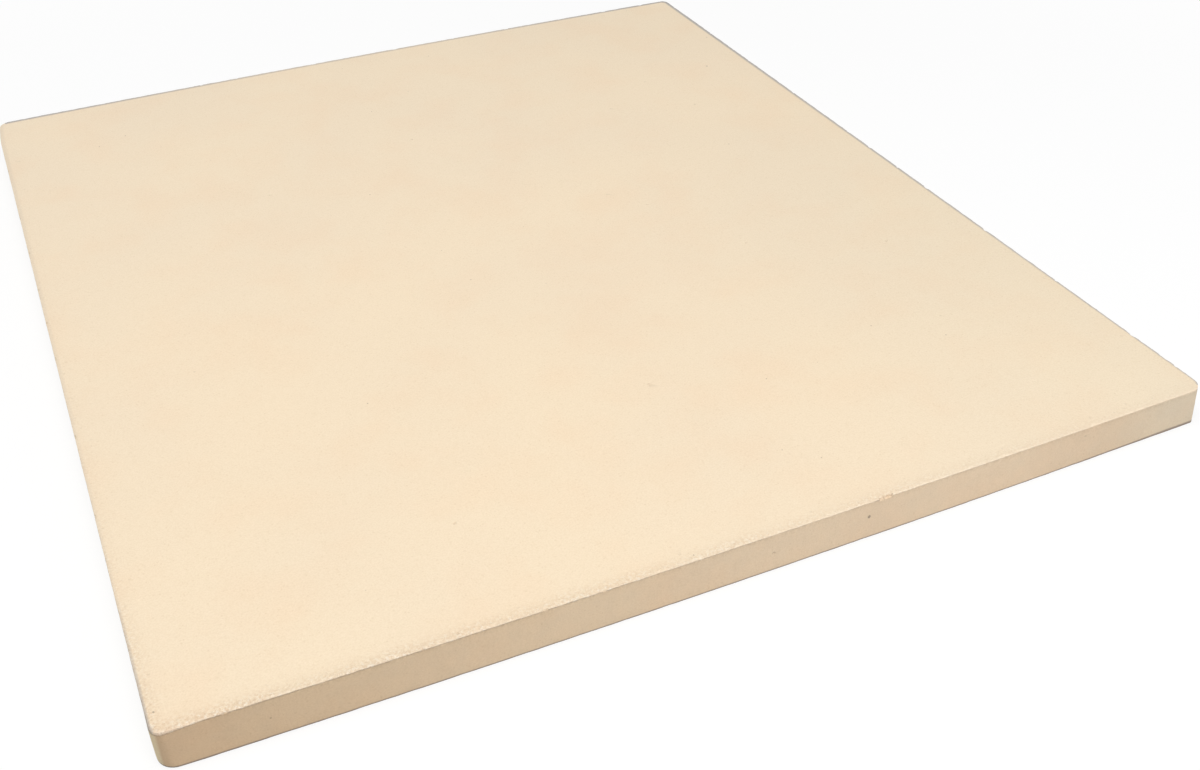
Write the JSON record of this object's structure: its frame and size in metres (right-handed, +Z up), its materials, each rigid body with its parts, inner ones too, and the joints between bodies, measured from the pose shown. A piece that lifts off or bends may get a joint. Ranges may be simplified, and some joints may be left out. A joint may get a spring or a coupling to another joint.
{
  "type": "rectangular baking stone",
  "caption": "Flat rectangular unglazed ceramic slab for baking bread and flatbreads on in an oven or on a grill, with small rounded corners and softly broken edges.",
  "frame": {"origin": "middle of the underside, on the surface that the slab lies on", "axes": "+Z up, out of the baking face; +Y along the long sides, from the front short side that the picture shows nearest to the far one; +X to the right along the short sides"},
  "size_m": [0.3556, 0.4064, 0.015],
  "materials": {
    "fired_ceramic": "matte"
  },
  "bodies": {
    "root": {"baking_slab": "fired_ceramic"}
  },
  "joints": []
}
